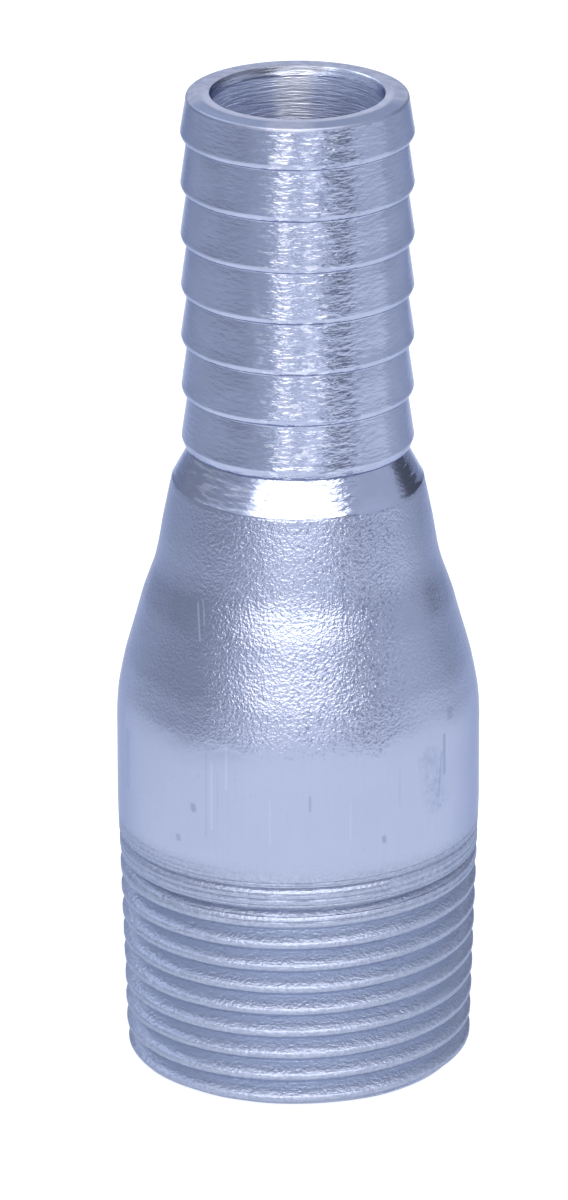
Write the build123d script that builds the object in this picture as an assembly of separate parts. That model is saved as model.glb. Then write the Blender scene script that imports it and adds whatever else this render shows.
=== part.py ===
from build123d import *
import math
import os

# Hose barb tail: one swaged steel pipe nipple standing on its threaded end.
# +Z runs along the axis towards the hose end, z = 0 is the face of the threaded
# end, lengths are millimetres.

# ---- driving dimensions -------------------------------------------------------
LENGTH = 92.90            # overall

# pipe end
BODY_R = 16.70            # 1-inch pipe, 33.40 outside
PIPE_BORE_R = 13.32       # 1-inch pipe, 26.64 inside
BODY_TOP = 33.2           # the swage starts here
END_MOUTH_R = 13.92       # mouth of the pipe bore, broken edge
END_MOUTH_H = 0.60

# taper pipe thread, right hand, 11.5 threads per inch, 1 in 16 on diameter
PITCH = 25.4 / 11.5
TAPER = 1 / 32            # growth of the radius per millimetre of height
CREST_R0 = 15.92          # crest radius extrapolated to z = 0
ROOT_R0 = 14.53           # root radius extrapolated to z = 0
THREAD_TOP = (BODY_R - CREST_R0) / TAPER   # where the crest cone meets the body
RUNOUT_START = 17.3       # above this height the groove gets shallower
RUNOUT_RISE = 0.235       # extra growth of the root radius in the run-out
ROOT_FLAT = 0.15          # width of the flat at the bottom of the groove
FLANK = math.radians(30)  # half of the 60 degree thread angle
GROOVE_Z = 0.50           # height of one groove centre on the +X side
NOSE = [(14.70, 0.0), (15.62, 0.38)]       # broken edge at the start of the thread
NOSE_TOP = 0.90

# swage, outside (radius, height)
SWAGE = [(16.50, 36.0), (15.92, 39.0), (15.08, 42.0), (14.25, 45.0), (13.20, 48.0)]
SWAGE_END = (12.59, 50.6)
COLLAR_END = (12.52, 51.6)                 # short, nearly straight collar
NECK_CONE = (11.55, 56.20)                 # as-swaged surface ends, turned surface starts
NECK_TOP = (9.87, 59.35)                   # turned cone ends in the neck groove

# swage, inside (radius, height)
SWAGE_IN = [(13.08, 36.0), (12.42, 39.0), (11.49, 42.0), (10.55, 45.0), (9.46, 48.0), (8.50, 51.2)]
SHANK_BORE_FROM = 55.5

# hose shank
BARBS = 7
BARB_PITCH = 4.835
CREST_Z = 60.30           # lower edge of the first crest land
CREST_LAND = 0.20
CREST_R = 10.61
VALLEY_R = 10.0
UNDERSIDE_H = 0.62        # height of the sloping underside of a barb
LIP = (0.09, 0.24)        # broken lower edge of a crest: radial width, height
TIP_R = 10.08             # outside radius at the hose end
TIP_ROUND = 0.25
FACE_R = 9.15             # the end face is flat out to here, then falls away slightly
FACE_DROP = 0.18
SHANK_BORE_R = 7.70
MOUTH_BREAK = (0.22, 0.85)   # broken edge of the bore mouth: radial width, depth


# ---- turned profile -----------------------------------------------------------
def line(points):
    return Polyline(*points) if len(points) > 2 else Line(*points)


def profile():
    """Half section of the blank in the XZ plane: x is the radius, y the height."""
    thread = NOSE + [
        (CREST_R0 + NOSE_TOP * TAPER, NOSE_TOP),
        (BODY_R, THREAD_TOP),
        (BODY_R, BODY_TOP),
    ]
    slope = (COLLAR_END[0] - SWAGE_END[0], COLLAR_END[1] - SWAGE_END[1])
    swage = Spline((BODY_R, BODY_TOP), *SWAGE, SWAGE_END, tangents=[(0, 1), slope])

    shank = [SWAGE_END, COLLAR_END, NECK_CONE, NECK_TOP]
    for i in range(BARBS):
        z = CREST_Z + i * BARB_PITCH
        shank.append((VALLEY_R, z - UNDERSIDE_H))
        shank.append((CREST_R - LIP[0], z - LIP[1]))
        shank.append((CREST_R, z))
        shank.append((CREST_R, z + CREST_LAND))
    # rounded outer corner of the hose end
    k = TIP_ROUND * (1 - math.sqrt(0.5))
    rim = LENGTH - FACE_DROP
    shank.append((TIP_R, rim - TIP_ROUND))
    tip = ThreePointArc((TIP_R, rim - TIP_ROUND), (TIP_R - k, rim - k),
                        (TIP_R - TIP_ROUND, rim))

    top = [
        (TIP_R - TIP_ROUND, rim),
        (FACE_R, LENGTH),
        (SHANK_BORE_R + MOUTH_BREAK[0], LENGTH),
        (SHANK_BORE_R, LENGTH - MOUTH_BREAK[1]),
        (SHANK_BORE_R, SHANK_BORE_FROM),
    ]
    inside = Spline((SHANK_BORE_R, SHANK_BORE_FROM), *reversed(SWAGE_IN),
                    (PIPE_BORE_R, BODY_TOP), tangents=[(0, -1), (0, -1)])
    bottom = [(PIPE_BORE_R, BODY_TOP), (PIPE_BORE_R, END_MOUTH_H), (END_MOUTH_R, 0.0), NOSE[0]]
    return make_face([line(thread), swage, line(shank), tip, line(top), inside, line(bottom)])


# ---- thread groove ------------------------------------------------------------
def root_radius(z):
    return ROOT_R0 + z * TAPER + max(0.0, z - RUNOUT_START) * RUNOUT_RISE


DEEP = 1.65               # the cutter reaches this far out from the root
HALF = ROOT_FLAT / 2
WIDE = HALF + DEEP * math.tan(FLANK)
CORNERS = [(0.0, -HALF), (0.0, HALF), (DEEP, WIDE), (DEEP, -WIDE)]
START_Z = GROOVE_Z - 2 * PITCH
SEGMENT = 120             # degrees of helix in one cutter
SEGMENTS = 42


def groove_point(corner, angle):
    out, up = corner
    z = START_Z + PITCH * angle / 360
    r = root_radius(z) + out
    a = math.radians(angle)
    return Vector(r * math.cos(a), r * math.sin(a), z + up)


def groove_edge(corner, a0, a1, step=15):
    n = round((a1 - a0) / step)
    points = [groove_point(corner, a0 + (a1 - a0) * i / n) for i in range(n + 1)]
    ends = [groove_point(corner, a0 + 0.01) - points[0], points[-1] - groove_point(corner, a1 - 0.01)]
    return Edge.make_spline(points, tangents=ends)


def groove_segment(a0, a1):
    """A 60 degree V cutter that follows the taper helix from angle a0 to a1."""
    edges = [groove_edge(c, a0, a1) for c in CORNERS]
    sides = [Face.make_surface_from_curves(edges[i], edges[(i + 1) % 4]) for i in range(4)]
    caps = [Face(Wire.make_polygon([e.position_at(t) for e in edges], close=True)) for t in (0, 1)]
    return Solid(Shell(sides + caps))


# ---- build --------------------------------------------------------------------
blank = revolve(Plane.XZ * profile(), Axis.Z).rotate(Axis.Z, 37)
tail = blank.solid()
tail = tail.cut(*[groove_segment(k * SEGMENT, (k + 1) * SEGMENT) for k in range(SEGMENTS)])
tail = tail.solid()

if __name__ == "__main__":
    os.makedirs("parts", exist_ok=True)
    export_step(tail, "parts/hose_barb_tail.step")
    box = tail.bounding_box()
    print("valid", tail.is_valid, "volume", round(tail.volume, 1), "blank", round(blank.volume, 1))
    print("box", box.min, box.max)
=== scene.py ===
import math
import bpy
import numpy as np
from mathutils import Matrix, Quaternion


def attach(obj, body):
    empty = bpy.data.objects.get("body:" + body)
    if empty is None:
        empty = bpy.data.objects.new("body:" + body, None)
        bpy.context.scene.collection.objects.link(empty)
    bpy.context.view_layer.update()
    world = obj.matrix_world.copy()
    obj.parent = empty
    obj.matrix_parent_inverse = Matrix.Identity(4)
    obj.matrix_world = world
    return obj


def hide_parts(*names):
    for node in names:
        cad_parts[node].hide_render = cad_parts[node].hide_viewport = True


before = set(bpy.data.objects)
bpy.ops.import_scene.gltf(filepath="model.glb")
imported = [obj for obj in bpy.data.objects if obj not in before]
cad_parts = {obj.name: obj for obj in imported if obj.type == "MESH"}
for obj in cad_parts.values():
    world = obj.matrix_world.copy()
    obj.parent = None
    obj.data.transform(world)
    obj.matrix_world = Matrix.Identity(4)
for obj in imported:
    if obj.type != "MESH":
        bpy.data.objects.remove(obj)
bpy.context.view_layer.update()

MM = 0.001
rng = np.random.default_rng(7)

# ------------------------------------------------------------------------------
# Shape. Everything is in millimetres here and turned into metres at the end.
# The surface is one closed grid: COLS columns round the axis, and rows that run
# up the outside, over the hose end and down the bore.
# ------------------------------------------------------------------------------
COLS = 288
TH = np.arange(COLS) * 2 * math.pi / COLS            # angle from +X, seen from above
FRAC = np.arange(COLS) / COLS

PITCH = 25.4 / 11.5
GROOVE_Z = 0.50
BODY_R = 16.70
THREAD_TOP = 24.96
HELIX_TOP = 26.2          # the helical rows end here, on the plain body


def smooth(a, b, x):
    t = np.clip((x - a) / (b - a), 0, 1)
    return t * t * (3 - 2 * t)


def periodic_noise(rows, su, sv, seed):
    """Smooth noise over rows x COLS, round in the columns, about unit deviation."""
    g = np.random.default_rng(seed).standard_normal((rows + 40, COLS))
    fu = np.fft.fftfreq(COLS)[None, :]
    fv = np.fft.fftfreq(rows + 40)[:, None]
    k = np.exp(-2 * math.pi ** 2 * ((fu * su) ** 2 + (fv * sv) ** 2))
    out = np.fft.ifft2(np.fft.fft2(g) * k).real[:rows]
    return out / out.std()


# ---- threaded end -------------------------------------------------------------
def crest_r(z):
    return 15.92 + z / 32


def root_r(z):
    return 14.53 + z / 32 + np.maximum(0, z - 17.3) * 0.235


def nose_r(z):
    return np.interp(z, [0.0, 0.19, 0.38, 0.62, 0.90, 1.3, 4.0, 9.0], [14.69, 15.15, 15.60, 15.78, 15.93, 16.02, 16.4, 20.0])


def soft_min(a, b, k):
    h = np.clip(0.5 + 0.5 * (b - a) / k, 0, 1)
    return b * (1 - h) + a * h - k * h * (1 - h)


def thread_r(t, z, turn):
    """Radius at signed axial distance t from a groove centre; turn is the angle in turns."""
    d = np.abs(t)
    wobble = 0.012 * np.sin(2 * math.pi * turn * 3.0 + z) + 0.008 * np.sin(2 * math.pi * turn * 7.0 + 2.1 * z)
    groove = root_r(z) + np.sqrt(np.maximum(0, d - 0.02) ** 2 + 0.0008) / math.tan(math.radians(30)) - 0.03
    top = np.where(z < THREAD_TOP, crest_r(z), BODY_R) - 0.004
    r = soft_min(top, groove + wobble, 0.10)
    return r


def vanish_cut(z, turn):
    """Shallow marks left by the die's lead chasers where the thread runs out."""
    h = z - PITCH * turn
    cut = np.zeros_like(z)
    for phase, depth, lo, hi in ((0.62, 0.075, 18.4, 22.6), (1.22, 0.055, 18.8, 23.2), (1.83, 0.06, 19.2, 22.8), (0.10, 0.030, 20.0, 23.4)):
        d = np.abs((h - phase + PITCH / 2) % PITCH - PITCH / 2)
        window = smooth(lo - 0.8, lo + 0.4, z) * (1 - smooth(hi - 0.7, hi, z))
        cut += depth * window * np.exp(-(d / 0.16) ** 2)
    return cut


OFFS = np.array([0.0, 0.12, 0.46, 0.79, 0.90, PITCH / 2, PITCH - 0.90, PITCH - 0.79, PITCH - 0.46, PITCH - 0.12])
K = len(OFFS)
first_turn = -2
n_turns = int(math.ceil((HELIX_TOP - GROOVE_Z) / PITCH)) - first_turn + 1
# nicks and flats along the crests, running on from turn to turn
nicks_and_painted_shade = np.convolve(rng.standard_normal(n_turns * COLS + 24), np.exp(-0.5 * (np.arange(-8, 9) / 1.5) ** 2), "same")[:n_turns * COLS]
nicks_and_painted_shade = (nicks_and_painted_shade / nicks_and_painted_shade.std()).reshape(n_turns, COLS)
rag = rng.standard_normal((n_turns, len(OFFS), COLS))
helix_rows = []                       # arrays (z, r, clamp) for each helical row
for n in range(first_turn, first_turn + n_turns):
    for off in OFFS:
        zc = GROOVE_Z + PITCH * (n + FRAC)
        z = zc + off
        t = np.where(off <= PITCH / 2, off, off - PITCH)
        zz = np.clip(z, 0, HELIX_TOP)
        # distance to the groove centre after the clamp
        tt = t + (zz - z)
        tt = (tt + PITCH / 2) % PITCH - PITCH / 2
        r = thread_r(tt, zz, FRAC)
        if 0.7 < off < PITCH - 0.7:
            fade = 1 - smooth(20.0, 24.0, zz)
            r = r - fade * (0.014 * np.clip(nicks_and_painted_shade[n - first_turn], -0.3, 2.4) + 0.006 * rag[n - first_turn, list(OFFS).index(off)])
        r = r - vanish_cut(zz, FRAC)
        r = np.minimum(r, nose_r(zz))
        clamp = np.where(z <= 0.02, -1, np.where(z >= HELIX_TOP - 0.02, 1, 0))
        helix_rows.append((zz, r, clamp))

# ---- plain outside profile above the thread -----------------------------------
SWAGE_Z = [30.5, 33.2, 34.5, 36.0, 37.5, 39.0, 40.5, 42.0, 43.5, 45.0, 46.5, 48.0, 49.5, 50.6, 51.6, 53.0, 54.5, 56.20]
SWAGE_R = [16.70, 16.695, 16.645, 16.50, 16.23, 15.92, 15.51, 15.08, 14.66, 14.25, 13.73, 13.20, 12.84, 12.65, 12.48, 12.22, 11.91, 11.55]


def swage_r(z):
    """Catmull-Rom style interpolation of the swage profile."""
    zs, rs = np.array(SWAGE_Z), np.array(SWAGE_R)
    m = np.gradient(rs, zs)
    m[0] = 0
    i = np.clip(np.searchsorted(zs, z) - 1, 0, len(zs) - 2)
    h = zs[i + 1] - zs[i]
    t = np.clip((z - zs[i]) / h, 0, 1)
    return ((1 + 2 * t) * (1 - t) ** 2 * rs[i] + t * (1 - t) ** 2 * h * m[i]
            + t * t * (3 - 2 * t) * rs[i + 1] + t * t * (t - 1) * h * m[i + 1])


plain = []                            # (r, z, zone) rows, constant round the axis
for z in np.arange(HELIX_TOP + 0.8, 32.6, 1.0):
    plain.append((BODY_R - 0.003, z, "body"))
for z in np.arange(32.8, 56.0, 0.352):
    plain.append((float(swage_r(z)), float(z), "swage"))
n_swage = sum(1 for p in plain if p[2] == "swage")
# edge where the turned surface starts, then the turned cone and the neck groove
plain += [(11.565, 56.11, "swage"), (11.54, 56.23, "turned"), (11.48, 56.35, "turned")]
for t in np.linspace(0.06, 0.94, 9):
    plain.append((11.55 + (9.87 - 11.55) * t, 56.20 + (59.35 - 56.20) * t, "turned"))
plain += [(9.885, 59.32, "turned"), (9.875, 59.37, "turned")]

BARBS, BARB_PITCH, CREST_Z, LAND = 7, 4.835, 60.30, 0.11
CREST_R, VALLEY_R, UNDER = 10.61, 10.0, 0.62
LENGTH, TIP_R = 92.90, 10.08
RIM = LENGTH - 0.18
barb_r = [CREST_R + d for d in (0.0, -0.02, -0.005, -0.025, 0.0, -0.015, -0.01)]
for i in range(BARBS):
    z, c = CREST_Z + i * BARB_PITCH, barb_r[i]
    z1 = z + BARB_PITCH - UNDER if i < BARBS - 1 else RIM - 0.25
    r1 = VALLEY_R if i < BARBS - 1 else TIP_R
    if i == 0:
        plain += [(c - 0.50, z - 0.90, "turned"), (c - 0.33, z - 0.80, "turned"), (c - 0.22, z - 0.62, "turned")]
    else:
        plain += [(VALLEY_R + 0.01, z - UNDER + 0.02, "turned"), (c - 0.44, z - 0.545, "turned"), (c - 0.24, z - 0.47, "turned")]
    plain += [
        (c - 0.13, z - 0.34, "turned"),
        (c - 0.065, z - 0.20, "turned"),
        (c - 0.025, z - 0.08, "turned"),
        (c - 0.003, z + 0.04, "turned"),
        (c - 0.003, z + LAND, "turned"),
        (c - 0.026, z + LAND + 0.10, "turned"),
    ]
    z0 = z + LAND
    for t in (0.35, 0.68, 0.97):
        plain.append((c + (r1 - c) * t, z0 + (z1 - z0) * t, "turned"))
    if i < BARBS - 1:
        plain.append((VALLEY_R - 0.005, z1 - 0.02, "turned"))
# hose end: rounded rim, flat annulus, broken inner edge
for a in (15, 35, 55, 75):
    plain.append((TIP_R - 0.25 + 0.25 * math.cos(math.radians(a)), RIM - 0.25 + 0.25 * math.sin(math.radians(a)), "face"))
plain += [(9.78, RIM + 0.005, "face"), (9.46, RIM + 0.088, "face"), (9.20, RIM + 0.160, "face"), (9.08, LENGTH - 0.004, "face"),
          (8.50, LENGTH - 0.004, "face"), (8.04, LENGTH - 0.004, "face"), (7.97, LENGTH - 0.012, "face"),
          (7.92, LENGTH - 0.05, "bore"), (7.88, LENGTH - 0.16, "bore"),
          (7.82, LENGTH - 0.40, "bore"), (7.76, LENGTH - 0.62, "bore"), (7.71, LENGTH - 0.82, "bore"), (7.70, LENGTH - 0.92, "bore")]
for z in (90.9, 89.4, 87.5, 84.6, 80.5, 75.5, 69.5, 62.5, 55.5):
    plain.append((7.70, z, "bore"))
IN_Z = [33.2, 36.0, 39.0, 42.0, 45.0, 48.0, 51.2, 55.5]
IN_R = [13.32, 13.08, 12.42, 11.49, 10.55, 9.46, 8.50, 7.70]
for z, r in list(zip(IN_Z, IN_R))[-2::-1]:
    plain.append((r, z, "bore"))
for z in (26.0, 18.0, 10.0, 4.0, 1.2):
    plain.append((13.32, z, "bore"))
plain += [(13.33, 0.66, "bore"), (13.36, 0.56, "bore"), (13.88, 0.05, "bore"), (13.93, 0.0, "bore")]

# ---- grids --------------------------------------------------------------------
P = len(plain)
PR = np.array([[p[0]] * COLS for p in plain])
PZ = np.array([[p[1]] * COLS for p in plain])
zones = [p[2] for p in plain]

# orange-peel relief of the swaged cone, fading out onto the body and at the turned cone
lo = next(i for i, p in enumerate(plain) if p[2] == "swage")
fine = periodic_noise(n_swage, 1.0, 1.0, 11)
coarse = periodic_noise(n_swage, 2.4, 2.2, 12)
broad = periodic_noise(n_swage, 14.0, 9.0, 13)
zcol = PZ[lo:lo + n_swage, :1]
mask = smooth(34.2, 37.0, zcol) * (1 - smooth(55.5, 56.2, zcol))
relief = mask * (0.004 * fine + 0.004 * coarse + 0.012 * broad)
PR[lo:lo + n_swage] += np.minimum(relief, 0.03) - 0.03 * mask
PR = np.minimum(PR, BODY_R - 0.0005)
# the pipe body is very slightly uneven
body_rows = [i for i, z in enumerate(zones) if z == "body"]
wave = periodic_noise(P, 10.0, 3.0, 14)
for i in body_rows:
    PR[i] -= 0.004 + 0.003 * np.tanh(wave[i])
# turned parts: each barb is cut a little unevenly, with small dents in the crests
run = periodic_noise(P, 9.0, 0.8, 15)
for i in range(P):
    if zones[i] == "turned" and PR[i, 0] > 9.99:
        PR[i] -= 0.010 + 0.008 * np.tanh(run[i])
for i in range(P):
    if zones[i] == "face":
        PZ[i] -= 0.006 + 0.005 * np.tanh(run[i])

# ---- vertices and faces -------------------------------------------------------
H = len(helix_rows)
HZ = np.array([h[0] for h in helix_rows])
HR = np.array([h[1] for h in helix_rows])
HC = np.array([h[2] for h in helix_rows])

verts, ids_h, ids_p = [], np.full((H, COLS), -1), np.zeros((P, COLS), int)


def add(r, z, a):
    verts.append((r * math.cos(a), r * math.sin(a), z))
    return len(verts) - 1


ring_lo = np.zeros(COLS, int)
ring_hi = np.zeros(COLS, int)
for j in range(COLS):
    d = GROOVE_Z + PITCH * FRAC[j]
    t = (0.0 - d + PITCH / 2) % PITCH - PITCH / 2
    r0 = min(float(thread_r(np.array(t), np.array(0.0), FRAC[j])), float(nose_r(0.0)))
    ring_lo[j] = add(r0, 0.0, TH[j])
    ring_hi[j] = add(BODY_R - 0.004, HELIX_TOP, TH[j])
for i in range(H):
    for j in range(COLS):
        c = HC[i, j]
        ids_h[i, j] = ring_lo[j] if c < 0 else ring_hi[j] if c > 0 else add(HR[i, j], HZ[i, j], TH[j])
for i in range(P):
    for j in range(COLS):
        ids_p[i, j] = add(PR[i, j], PZ[i, j], TH[j])

faces, mats = [], []
OUT, TURNED, BORE, FACE = 0, 1, 2, 3
zone_mat = {"body": OUT, "swage": OUT, "turned": TURNED, "bore": BORE, "face": FACE}


def quad(a, b, c, d, m):
    f = []
    for v in (a, b, c, d):
        if v not in f:
            f.append(v)
    if len(f) > 2:
        faces.append(f)
        mats.append(m)


for i in range(H - 1):
    for j in range(COLS - 1):
        quad(ids_h[i, j], ids_h[i, j + 1], ids_h[i + 1, j + 1], ids_h[i + 1, j], OUT)
    j = COLS - 1                       # the last column meets the first one turn further up
    for_next = lambda k: ids_h[k + K, 0] if k + K < H else ring_hi[0]
    quad(ids_h[i, j], for_next(i), for_next(i + 1), ids_h[i + 1, j], OUT)
for j in range(COLS):
    n = (j + 1) % COLS
    quad(ring_hi[j], ring_hi[n], ids_p[0, n], ids_p[0, j], OUT)
    for i in range(P - 1):
        quad(ids_p[i, j], ids_p[i, n], ids_p[i + 1, n], ids_p[i + 1, j], zone_mat[zones[i + 1]])
    quad(ids_p[P - 1, j], ids_p[P - 1, n], ring_lo[n], ring_lo[j], FACE)

mesh = bpy.data.meshes.new("hose_barb_tail_skin")
mesh.from_pydata([(x * MM, y * MM, z * MM) for x, y, z in verts], [], [[int(v) for v in f] for f in faces])
mesh.validate()
mesh.update()
piece = bpy.data.objects.new("hose_barb_tail_skin", mesh)
bpy.context.scene.collection.objects.link(piece)
for p, m in zip(mesh.polygons, mats):
    p.material_index = m
    p.use_smooth = True
# the bottom of the thread groove is a crisp corner
root_of = {}
for i in range(0, H, K):
    for j in range(COLS):
        if HC[i, j] == 0:
            root_of[int(ids_h[i, j])] = True
sharp = mesh.attributes.new("sharp_edge", "BOOLEAN", "EDGE")
for e in mesh.edges:
    a, b = e.vertices
    if a in root_of and b in root_of:
        sharp.data[e.index].value = True
tris = sum(len(p.vertices) - 2 for p in mesh.polygons)
print("skin: vertices", len(mesh.vertices), "triangles", tris)


# ------------------------------------------------------------------------------
# Materials
# ------------------------------------------------------------------------------
# Several tones below are limited to bands of x, or to the front (y < 0), in object space.
# They stand where the light picks them out from the front, and aren't round the whole
# part: several of them are painted highlights and painted shade.
class Graph:
    """Short-hand for building shader nodes."""

    def __init__(self, tree):
        self.t = tree
        self.t.nodes.clear()

    def node(self, kind, **props):
        n = self.t.nodes.new(kind)
        for k, v in props.items():
            setattr(n, k, v)
        return n

    def put(self, value, socket):
        if isinstance(value, bpy.types.NodeSocket):
            self.t.links.new(value, socket)
        else:
            socket.default_value = value

    def math(self, op, a, b=None, c=None, clamp=False):
        n = self.node("ShaderNodeMath", operation=op, use_clamp=clamp)
        for i, v in enumerate((a, b, c)):
            if v is not None:
                self.put(v, n.inputs[i])
        return n.outputs[0]

    def add(self, a, b): return self.math("ADD", a, b)
    def sub(self, a, b): return self.math("SUBTRACT", a, b)
    def mul(self, a, b): return self.math("MULTIPLY", a, b)

    def ramp(self, x, a, b, lo=0.0, hi=1.0, kind="SMOOTHSTEP"):
        n = self.node("ShaderNodeMapRange", interpolation_type=kind)
        self.put(x, n.inputs["Value"])
        n.inputs["From Min"].default_value = a
        n.inputs["From Max"].default_value = b
        self.put(lo, n.inputs["To Min"])
        self.put(hi, n.inputs["To Max"])
        return n.outputs[0]

    def band(self, x, a, b, soft):
        return self.mul(self.ramp(x, a - soft, a + soft), self.ramp(x, b - soft, b + soft, 1.0, 0.0))

    def xyz(self, v):
        n = self.node("ShaderNodeSeparateXYZ")
        self.put(v, n.inputs[0])
        return n.outputs[0], n.outputs[1], n.outputs[2]

    def vec(self, x, y, z):
        n = self.node("ShaderNodeCombineXYZ")
        for i, v in enumerate((x, y, z)):
            self.put(v, n.inputs[i])
        return n.outputs[0]

    def noise(self, v, scale=1.0, detail=2.0, rough=0.5, offset=(0, 0, 0), stretch=(1, 1, 1)):
        m = self.node("ShaderNodeMapping")
        self.put(v, m.inputs[0])
        m.inputs["Location"].default_value = offset
        m.inputs["Scale"].default_value = stretch
        n = self.node("ShaderNodeTexNoise")
        self.put(m.outputs[0], n.inputs["Vector"])
        n.inputs["Scale"].default_value = scale
        n.inputs["Detail"].default_value = detail
        n.inputs["Roughness"].default_value = rough
        return n.outputs["Fac"]

    def mix(self, fac, a, b):
        n = self.node("ShaderNodeMix", data_type="RGBA")
        self.put(fac, n.inputs[0])
        for v, s in ((a, n.inputs[6]), (b, n.inputs[7])):
            self.put((*v, 1.0) if isinstance(v, tuple) else v, s)
        return n.outputs[2]

    def stroke(self, x, y, z, x0, z0, x1, z1, w):
        """1 inside a soft stroke of half-width w drawn on the front side, 0 elsewhere."""
        dx, dz = x1 - x0, z1 - z0
        px, pz = self.sub(x, x0), self.sub(z, z0)
        t = self.math("DIVIDE", self.add(self.mul(px, dx), self.mul(pz, dz)), dx * dx + dz * dz + 1e-6, clamp=True)
        ex, ez = self.sub(px, self.mul(t, dx)), self.sub(pz, self.mul(t, dz))
        dist = self.math("SQRT", self.add(self.mul(ex, ex), self.mul(ez, ez)))
        return self.mul(self.ramp(dist, 0.3 * w, w, 1.0, 0.0), self.math("LESS_THAN", y, 0.0))

    def bump(self, height, distance, strength=1.0, normal=None):
        n = self.node("ShaderNodeBump")
        self.put(height, n.inputs["Height"])
        n.inputs["Distance"].default_value = distance
        n.inputs["Strength"].default_value = strength
        if normal is not None:
            self.put(normal, n.inputs["Normal"])
        return n.outputs[0]


ZINC = (0.405, 0.437, 0.566)
ZINC_DARK = (0.30, 0.335, 0.47)

# handling marks on the front of the pipe and swage: x0, z0, x1, z1, half-width (mm), strength
MARKS_DARK = [
    (-9.60, 29.3, -9.55, 28.9, 0.36, 0.60), (-10.99, 25.9, -10.95, 25.6, 0.30, 0.50),
    (7.75, 26.6, 7.80, 26.2, 0.28, 0.60), (1.03, 31.3, 1.03, 30.0, 0.16, 0.45),
    (13.27, 34.7, 13.30, 31.0, 0.20, 0.55), (13.80, 36.7, 13.84, 36.1, 0.40, 0.40),
    (13.05, 33.2, 12.75, 29.0, 0.13, 0.45), (-8.38, 34.6, -8.42, 26.6, 0.13, 0.18),
    (-7.35, 33.0, -7.36, 28.0, 0.10, 0.14), (4.04, 50.6, 4.00, 46.0, 0.16, 0.45),
    (-15.6, 33.5, -15.6, 28.0, 0.30, 0.15), (9.2, 33.2, 9.2, 29.4, 0.10, 0.15),
]
MARKS_LIGHT = [
    (-9.08, 47.5, -8.90, 44.4, 0.13, 0.60), (-8.60, 47.9, -8.50, 45.8, 0.10, 0.45),
    (-6.56, 35.8, -6.58, 31.5, 0.12, 0.15), (-7.90, 33.8, -7.92, 27.4, 0.12, 0.13),
    (-2.60, 31.0, -2.62, 26.5, 0.12, 0.08), (4.70, 30.5, 4.70, 26.8, 0.12, 0.08),
]
SCUFF = (11.9, 33.2, 12.6, 28.4, 1.35)
# fine die marks where the thread runs out: phase in the pitch, half-width (pitches), z range, strength
CHATTER = [(0.30, 0.050, 18.0, 22.6, 1.0), (0.55, 0.040, 18.4, 23.2, 0.8), (0.80, 0.050, 18.6, 22.9, 0.9), (0.05, 0.035, 19.2, 23.4, 0.7), (0.42, 0.025, 19.0, 22.8, 0.6)]


def metal(name):
    m = bpy.data.materials.new(name)
    m.use_nodes = True
    g = Graph(m.node_tree)
    out = g.node("ShaderNodeOutputMaterial")
    s = g.node("ShaderNodeBsdfPrincipled")
    s.inputs["Metallic"].default_value = 1.0
    s.inputs["Specular Tint"].default_value = (0.50, 0.54, 0.65, 1)
    g.t.links.new(s.outputs[0], out.inputs[0])
    tc = g.node("ShaderNodeTexCoord")
    v = g.node("ShaderNodeVectorMath", operation="SCALE")
    g.t.links.new(tc.outputs["Object"], v.inputs[0])
    v.inputs["Scale"].default_value = 1000.0
    return m, g, s, v.outputs[0]


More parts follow.
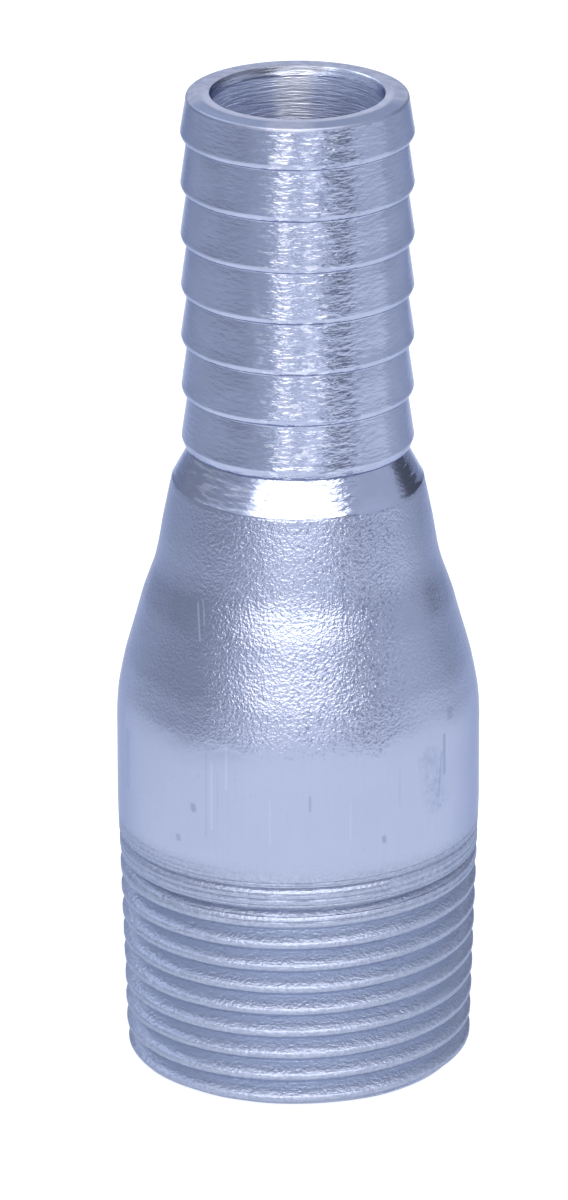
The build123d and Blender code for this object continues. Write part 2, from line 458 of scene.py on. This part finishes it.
def pipe_material():
    """Plain pipe wall, swaged cone and thread."""
    m, g, s, v = metal("zinc_pipe")
    x, y, z = g.xyz(v)
    patch = g.noise(v, 0.42, 2.0, 0.6, offset=(2, 7, 5))
    swage = g.mul(g.ramp(g.add(z, g.mul(g.sub(patch, 0.5), 4.5)), 34.2, 37.0), g.ramp(z, 55.9, 56.3, 1.0, 0.0))
    thread = g.ramp(z, 24.6, 22.6)
    peel = g.noise(v, 3.4, 1.0, 0.5)
    grain = g.noise(v, 6.2, 1.0, 0.5, offset=(3, 1, 2))
    streak = g.noise(v, 1.0, 3.0, 0.6, stretch=(2.6, 2.6, 0.16), offset=(5, 2, 0))
    around = g.noise(v, 1.0, 3.0, 0.6, stretch=(0.35, 0.35, 7.0))
    gritty = g.noise(v, 3.4, 2.0, 0.6, offset=(7, 5, 1), stretch=(0.8, 0.8, 1.0))
    rough_side = g.add(0.40, g.mul(0.60, g.band(x, -8.8, 9.2, 1.6)))
    height = g.add(g.mul(g.mul(swage, rough_side), g.add(g.mul(peel, 0.78), g.mul(grain, 0.28))),
                   g.add(g.mul(g.sub(1.0, swage), g.mul(streak, 0.10)), g.mul(thread, g.add(g.mul(around, 0.35), g.mul(gritty, 1.0)))))
    turn = g.mul(g.math("ARCTAN2", y, x), 0.5 / math.pi)
    phase = g.math("FRACT", g.sub(g.mul(z, 1.0 / PITCH), turn))
    lines = 0.0
    for at, half, lo, hi, k in CHATTER:
        d = g.math("ABSOLUTE", g.sub(g.math("FRACT", g.add(phase, 0.5 - at)), 0.5))
        one = g.mul(g.ramp(d, 0.3 * half, half, k, 0.0), g.band(z, lo, hi, 0.35))
        lines = one if isinstance(lines, float) else g.add(lines, one)
    lines = g.mul(lines, g.ramp(g.noise(v, 0.45, 2.0, 0.6, offset=(3, 3, 3)), 0.30, 0.62, 0.25, 1.0))
    height = g.sub(height, g.mul(lines, 1.25))
    g.put(g.bump(height, 0.00010, 1.0), s.inputs["Normal"])
    cloud = g.noise(v, 0.16, 3.0, 0.55, offset=(9, 4, 7))
    tone = g.ramp(g.add(g.mul(cloud, 0.7), g.mul(streak, 0.3)), 0.35, 0.65, 0.0, 1.0)
    base = g.mix(tone, tuple(c * 0.96 for c in ZINC), tuple(c * 1.03 for c in ZINC))
    speck = g.ramp(g.noise(v, 1.6, 1.0, 0.5, offset=(1, 8, 3), stretch=(1, 1, 0.55)), 0.74, 0.80)
    base = g.mix(g.mul(speck, 0.45), base, ZINC_DARK)
    base = g.mix(g.mul(swage, 0.5), base, tuple(c * 0.80 for c in ZINC))
    base = g.mix(g.sub(1.0, swage), base, g.mix(0.5, base, tuple(c * 0.84 for c in ZINC)))
    # dark pits on the swage: faint all round, and much stronger in a band on the front, where they are painted shade
    # standing in for dark reflections
    pits_and_painted_shade = g.ramp(g.noise(v, 2.7, 1.5, 0.6, offset=(5, 9, 2)), 0.54, 0.70)
    pits_and_painted_shade = g.mul(g.mul(pits_and_painted_shade, swage), g.add(0.10, g.mul(0.75, g.mul(g.band(g.add(x, g.mul(g.sub(patch, 0.5), 4.0)), -1.0, 9.0, 1.6), g.math("LESS_THAN", y, 0.0)))))
    base = g.mix(g.mul(pits_and_painted_shade, 0.75), base, (0.16, 0.19, 0.29))
    # thread tone by depth: lighter towards the groove roots as painted light against their shade, darker on the crests
    # as painted shade dimming their highlight
    radius = g.math("SQRT", g.add(g.mul(x, x), g.mul(y, y)))
    depth = g.sub(radius, g.add(14.53, g.mul(z, 1.0 / 32.0)))
    painted_thread_light_and_shade = g.mix(g.ramp(depth, 0.15, 1.10), (0.50, 0.55, 0.67), (0.315, 0.35, 0.455))
    painted_thread_light_and_shade = g.mix(g.ramp(gritty, 0.35, 0.65), painted_thread_light_and_shade, g.mix(0.30, painted_thread_light_and_shade, (0.55, 0.59, 0.70)))
    base = g.mix(thread, base, painted_thread_light_and_shade)
    # the base is darkened along the die marks: painted shade in their shallow grooves
    base = g.mix(g.mul(lines, 0.35), base, (0.20, 0.23, 0.34))
    # handling marks on the front of the pipe: (x0, z0, x1, z1, width, strength)
    for x0, z0, x1, z1, w, k in MARKS_DARK:
        base = g.mix(g.mul(g.stroke(x, y, z, x0, z0, x1, z1, w), k), base, (0.20, 0.24, 0.37))
    for x0, z0, x1, z1, w, k in MARKS_LIGHT:
        base = g.mix(g.mul(g.stroke(x, y, z, x0, z0, x1, z1, w), k), base, (0.66, 0.70, 0.84))
    scuff = g.mul(g.stroke(x, y, z, *SCUFF), g.ramp(g.noise(v, 1.5, 4.0, 0.75, offset=(4, 4, 9)), 0.30, 0.72))
    base = g.mix(g.mul(scuff, 0.62), base, (0.24, 0.28, 0.41))
    g.put(base, s.inputs["Base Color"])
    rough = g.add(g.add(0.27, g.mul(thread, 0.19)), g.mul(g.sub(cloud, 0.5), 0.06))
    g.put(rough, s.inputs["Roughness"])
    return m


def turned_material():
    m, g, s, v = metal("zinc_turned")
    x, y, z = g.xyz(v)
    fine = g.noise(v, 1.0, 2.5, 0.6, stretch=(0.28, 0.28, 4.0))
    dash = g.noise(v, 1.0, 2.0, 0.5, stretch=(1.0, 1.0, 2.8), offset=(4, 0, 2))
    height = g.add(g.mul(fine, 0.25), g.mul(dash, 0.75))
    chatter = g.mul(g.band(x, -2.8, 5.9, 0.7), g.math("LESS_THAN", y, 0.0))
    height = g.mul(height, g.add(0.55, g.mul(chatter, 0.75)))
    g.put(g.bump(height, 0.000085, 1.0), s.inputs["Normal"])
    cloud = g.noise(v, 0.3, 3.0, 0.55, offset=(2, 4, 7))
    base = g.mix(g.ramp(cloud, 0.35, 0.65), tuple(c * 0.93 for c in ZINC), tuple(c * 1.01 for c in ZINC))
    # dark nicks on the turned barbs, put only in a band on the front: painted shade where the light shows the marks
    # dark
    nicks_and_painted_shade = g.ramp(g.noise(v, 1.0, 2.0, 0.6, stretch=(0.75, 0.75, 2.6), offset=(8, 1, 6)), 0.53, 0.66)
    nicks_and_painted_shade = g.mul(g.mul(nicks_and_painted_shade, g.band(z, 59.3, 92.0, 0.4)), g.mul(g.band(x, 1.4, 5.7, 0.9), g.math("LESS_THAN", y, 0.0)))
    base = g.mix(g.mul(nicks_and_painted_shade, 0.60), base, (0.15, 0.18, 0.27))
    glint = g.ramp(g.noise(v, 1.0, 2.0, 0.6, stretch=(0.7, 0.7, 2.4), offset=(1, 6, 8)), 0.55, 0.66)
    glint = g.mul(g.mul(glint, g.band(z, 59.3, 92.0, 0.4)), g.mul(g.band(x, -3.6, 3.2, 1.0), g.math("LESS_THAN", y, 0.0)))
    base = g.mix(g.mul(glint, 0.60), base, (0.78, 0.79, 0.86))
    # light streaks on the left front of the neck cone: painted highlight
    painted_neck_highlight = g.ramp(g.noise(v, 1.0, 2.0, 0.6, stretch=(0.4, 0.4, 3.0), offset=(2, 2, 5)), 0.47, 0.62)
    painted_neck_highlight = g.mul(g.mul(painted_neck_highlight, g.band(z, 56.3, 59.2, 0.3)), g.mul(g.band(x, -9.6, -4.6, 0.8), g.math("LESS_THAN", y, 0.0)))
    base = g.mix(g.mul(painted_neck_highlight, 0.55), base, (0.76, 0.79, 0.90))
    g.put(base, s.inputs["Base Color"])
    g.put(g.add(0.17, g.mul(g.sub(dash, 0.5), 0.08)), s.inputs["Roughness"])
    return m


def bore_material():
    m, g, s, v = metal("zinc_bore")
    around = g.noise(v, 1.0, 3.0, 0.6, stretch=(0.4, 0.4, 4.5))
    cloud = g.noise(v, 0.35, 3.0, 0.6, offset=(6, 4, 7))
    x, y, z = g.xyz(v)
    g.put(g.bump(around, 0.00007, 1.0), s.inputs["Normal"])
    base = g.mix(g.ramp(cloud, 0.3, 0.7), (0.60, 0.65, 0.80), (0.71, 0.76, 0.91))
    # light streaky band down the back wall of the bore: painted reflection
    painted_bore_reflection = g.mul(g.band(g.add(x, g.mul(g.sub(around, 0.5), 2.0)), -1.9, 1.1, 0.7), g.ramp(y, 2.0, 5.0))
    base = g.mix(g.mul(painted_bore_reflection, 0.75), base, (0.97, 0.97, 0.99))
    # darker mouth edge on the left: painted shade that dims the highlight there
    painted_mouth_shade_left = g.mul(g.ramp(z, 91.7, 92.0), g.mul(g.ramp(x, -1.0, -2.6), g.ramp(y, -3.0, 0.0)))
    base = g.mix(g.mul(painted_mouth_shade_left, 0.85), base, (0.26, 0.29, 0.37))
    # darker upper mouth at the back, except on the right: painted shade that dims the highlight there
    top = g.mul(g.ramp(z, 91.9, 92.5), g.ramp(y, 2.0, 5.0))
    base = g.mix(g.mul(top, g.ramp(x, 3.4, 1.8)), base, g.mix(g.ramp(z, 92.35, 92.65), (0.36, 0.38, 0.44), (0.21, 0.22, 0.27)))
    g.put(base, s.inputs["Base Color"])
    g.put(g.sub(g.add(0.42, g.mul(g.sub(cloud, 0.5), 0.1)), g.mul(g.ramp(z, 91.7, 92.1), 0.20)), s.inputs["Roughness"])
    return m


def face_material():
    m, g, s, v = metal("zinc_faced")
    x, y, z = g.xyz(v)
    r = g.math("SQRT", g.add(g.mul(x, x), g.mul(y, y)))
    ring = g.noise(g.vec(r, 0.0, 0.0), 5.0, 3.0, 0.6)
    cloud = g.noise(v, 1.1, 3.0, 0.6, offset=(6, 4, 7))
    g.put(g.bump(g.add(g.mul(ring, 0.6), g.mul(cloud, 0.8)), 0.00008, 1.0), s.inputs["Normal"])
    base = g.mix(g.ramp(cloud, 0.38, 0.62), (0.43, 0.44, 0.51), (0.53, 0.53, 0.59))
    # the inner ring of the end face is lighter towards the front only: painted light
    base = g.mix(g.ramp(g.add(r, g.mul(cloud, 0.6)), 8.75, 9.15), g.mix(g.mul(g.ramp(y, 3.0, -2.0), 0.50), base, (0.70, 0.70, 0.75)), base)
    # the outer part of the end face is darker at the front, less so in the middle: painted shade
    painted_front_rim_shade = g.mul(g.ramp(y, -1.0, -4.0), g.ramp(g.add(r, g.mul(cloud, 0.3)), 8.85, 9.15))
    base = g.mix(g.mul(painted_front_rim_shade, g.sub(0.95, g.mul(g.band(x, -2.6, 1.4, 0.8), 0.6))), base, (0.30, 0.33, 0.43))
    g.put(base, s.inputs["Base Color"])
    g.put(g.add(0.46, g.mul(g.sub(cloud, 0.5), 0.12)), s.inputs["Roughness"])
    return m


for mat in (pipe_material(), turned_material(), bore_material(), face_material()):
    mesh.materials.append(mat)
for p, m in zip(mesh.polygons, mats):
    p.material_index = m

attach(piece, "root")
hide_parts("hose_barb_tail")

# ------------------------------------------------------------------------------
# Studio: pale floor that glows unevenly, soft light all round with a key panel,
# two low strips and darker sectors, camera
# ------------------------------------------------------------------------------
fm = bpy.data.meshes.new("floor")
S = 6.0
fm.from_pydata([(-S, -S, -0.00002), (S, -S, -0.00002), (S, S, -0.00002), (-S, S, -0.00002)], [], [(0, 1, 2, 3)])
floor = bpy.data.objects.new("floor", fm)
bpy.context.scene.collection.objects.link(floor)
m = bpy.data.materials.new("pale_floor")
m.use_nodes = True
g = Graph(m.node_tree)
out = g.node("ShaderNodeOutputMaterial")
s = g.node("ShaderNodeBsdfPrincipled")
s.inputs["Base Color"].default_value = (0.32, 0.35, 0.40, 1)
s.inputs["Roughness"].default_value = 1.0
s.inputs["Specular IOR Level"].default_value = 0.0
s.inputs["Emission Color"].default_value = (1.0, 1.0, 1.0, 1)
tc = g.node("ShaderNodeTexCoord")
fx, fy, _ = g.xyz(tc.outputs["Object"])
fr = g.math("SQRT", g.add(g.mul(fx, fx), g.mul(fy, fy)))
# the floor glows brighter near the part, and dimmer to the left and right and in a patch behind on the right: painted
# light and shade on the floor
side = g.mul(g.ramp(fx, -0.060, -0.24, 1.0, 0.22), g.ramp(fx, 0.06, 0.28, 1.0, 0.80))
side = g.mul(side, g.sub(1.0, g.mul(0.60, g.mul(g.ramp(fx, 0.10, 0.17), g.ramp(fy, 0.02, 0.10)))))
# the floor's glow drops under the part's foot: a painted contact shadow
painted_contact_shadow = g.ramp(fr, 0.0135, 0.0146, 0.15, 1.0)
g.put(g.mul(g.mul(g.ramp(fr, 0.36, 0.95, 0.80, 0.35), side), painted_contact_shadow), s.inputs["Emission Strength"])
g.t.links.new(s.outputs[0], out.inputs[0])
fm.materials.append(m)

world = bpy.data.worlds.new("studio")
bpy.context.scene.world = world
world.use_nodes = True
g = Graph(world.node_tree)
out = g.node("ShaderNodeOutputWorld")
bg = g.node("ShaderNodeBackground")
g.t.links.new(bg.outputs[0], out.inputs[0])
tc = g.node("ShaderNodeTexCoord")
dx, dy, dz = g.xyz(tc.outputs["Generated"])
el = g.mul(g.math("ARCSINE", dz), 180 / math.pi)
az = g.mul(g.math("ARCTAN2", dx, g.mul(dy, -1.0)), 180 / math.pi)      # 0 = towards -Y, + = towards +X
aabs = g.math("ABSOLUTE", az)
# soft all-round light, a little darker low down at the left
horizon = g.band(el, -16.0, 27.0, 9.0)
left = g.band(az, -165.0, -45.0, 18.0)
right = g.band(az, 45.0, 165.0, 12.0)
amb = g.add(0.90, g.mul(g.ramp(aabs, 150.0, 172.0), g.mul(0.22, g.ramp(el, 34.0, 50.0, 1.0, 0.0))))
amb = g.sub(amb, g.mul(horizon, g.add(g.mul(left, 0.42), g.mul(right, 0.04))))
gap = g.mul(g.band(az, 30.0, 55.0, 4.0), g.ramp(el, 16.0, 26.0, 1.0, 0.0))
amb = g.sub(amb, g.mul(gap, 0.52))
amb = g.add(amb, g.mul(1.8, g.mul(g.band(az, -150.0, -97.0, 8.0), g.band(el, 28.0, 54.0, 6.0))))
dark = g.mul(g.band(az, 113.0, 152.0, 5.0), g.band(el, -10.0, 24.0, 4.0))
amb = g.mul(amb, g.sub(1.0, g.mul(dark, 0.80)))
# the main soft box in front, above the camera, fading towards the floor
wide = g.math("DIVIDE", az, g.add(24.0, g.mul(g.math("MAXIMUM", el, 6.0), 0.74)))
key = g.mul(g.band(wide, -0.97, 0.92, 0.10), g.mul(g.ramp(el, 13.5, 22.5, 0.0, 1.0), g.ramp(el, 58.0, 72.0, 1.0, 0.0)))
strips = g.add(g.mul(g.band(az, -20.0, -8.0, 3.0), 1.0), g.mul(g.band(az, 7.0, 20.0, 4.0), 0.55))
low = g.mul(strips, g.band(el, -10.0, 30.0, 5.0))
tint = g.node("ShaderNodeMix", data_type="RGBA")
g.put(g.math("MULTIPLY", g.add(key, low), 1.0, clamp=True), tint.inputs[0])
tint.inputs[6].default_value = (0.86, 0.93, 1.10, 1)
tint.inputs[7].default_value = (1.02, 1.0, 0.98, 1)
g.t.links.new(tint.outputs[2], bg.inputs["Color"])
strength = g.add(amb, g.add(g.mul(key, 2.6), g.mul(low, 1.50)))
g.put(strength, bg.inputs["Strength"])

scene = bpy.context.scene
scene.view_settings.view_transform = "Standard"
scene.view_settings.look = "None"
scene.view_settings.exposure = 0.0
scene.view_settings.gamma = 1.0

EL = math.radians(21.06)
DIST = 0.82536
AIM_Z = 0.04403
SIDE = -0.00129
ROLL = math.radians(-0.11)
cam_data = bpy.data.cameras.new("camera")
cam_data.sensor_fit = "VERTICAL"
cam_data.sensor_height = 36.0
cam_data.sensor_width = 36.0
cam_data.lens = 270.0
cam_data.clip_start = 0.01
cam_data.clip_end = 50.0
cam = bpy.data.objects.new("camera", cam_data)
scene.collection.objects.link(cam)
cam.location = (SIDE, -DIST * math.cos(EL), AIM_Z + DIST * math.sin(EL))
cam.rotation_mode = "QUATERNION"
cam.rotation_quaternion = (Quaternion((1, 0, 0), math.pi / 2 - EL) @ Quaternion((0, 0, 1), ROLL))
scene.camera = cam
